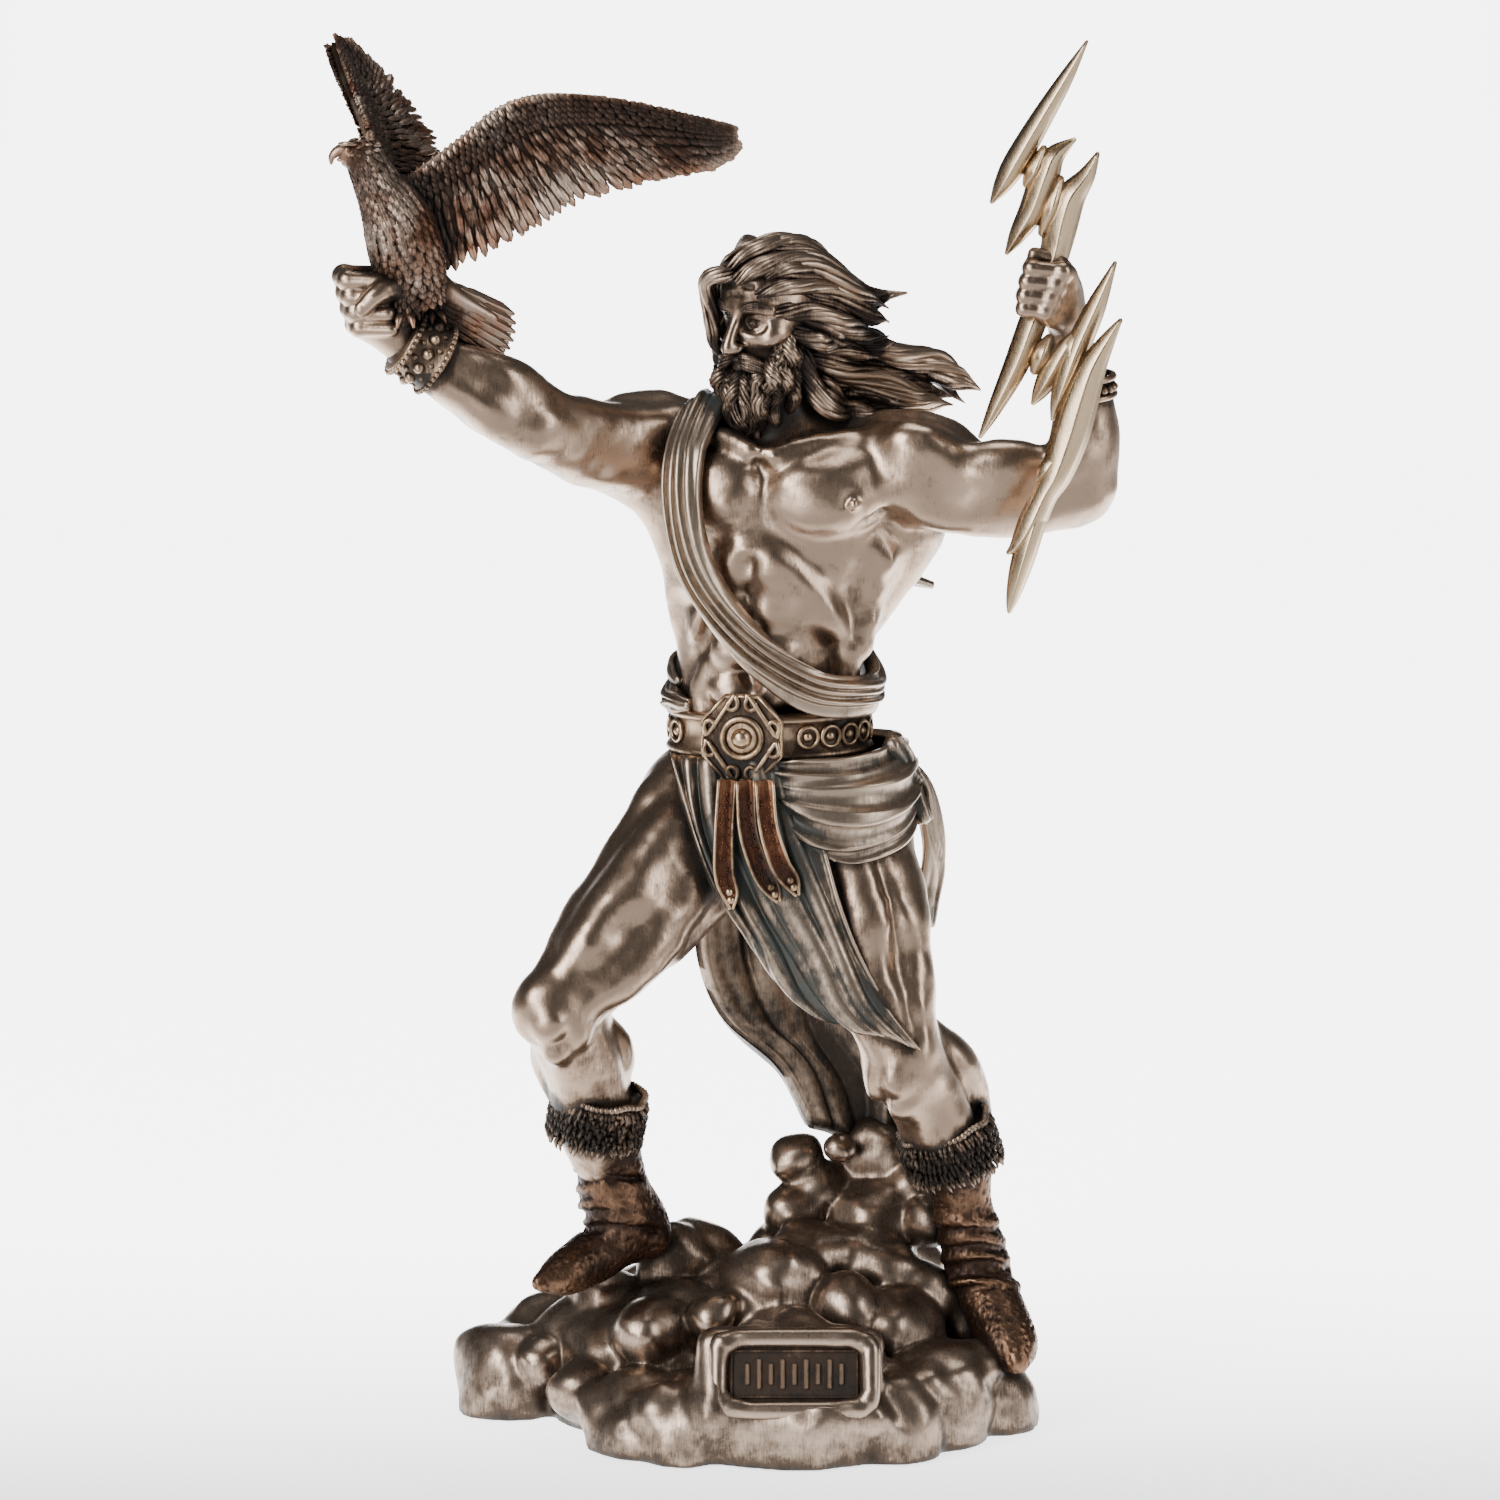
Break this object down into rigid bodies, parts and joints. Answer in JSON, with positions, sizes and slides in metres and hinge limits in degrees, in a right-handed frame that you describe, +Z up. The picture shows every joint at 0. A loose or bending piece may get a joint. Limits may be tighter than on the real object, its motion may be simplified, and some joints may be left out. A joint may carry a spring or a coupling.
{
  "type": "mythological figure statuette",
  "caption": "Striding bearded sky-god statuette on a cloud base, an eagle on the raised right wrist and a jagged lightning bolt in the left fist, cast in antiqued cold-cast bronze",
  "frame": {"origin": "on the flat underside of the cloud base, midway under the figure; the statuette stands on the plane z = 0", "axes": "+Z up along the height, -Y the front that carries the name panel, +X towards the hand with the lightning bolt"},
  "size_m": [0.1697, 0.0887, 0.3007],
  "materials": {
    "figure_bronze": "cold-cast bronze (bronze powder in resin), antiqued dark in the hollows and rubbed bright on the high spots, cloth washed blue-green",
    "eagle_bronze": "cold-cast bronze, dark brown wash over close feathering, coppery on the breast",
    "bolt_bronze": "cold-cast bronze, light brassy satin",
    "cloud_bronze": "cold-cast bronze, brushed satin with dark creases"
  },
  "bodies": {
    "root": {"zeus_figure": "figure_bronze", "eagle": "eagle_bronze", "lightning_bolt": "bolt_bronze", "cloud_base": "cloud_bronze"}
  },
  "joints": []
}
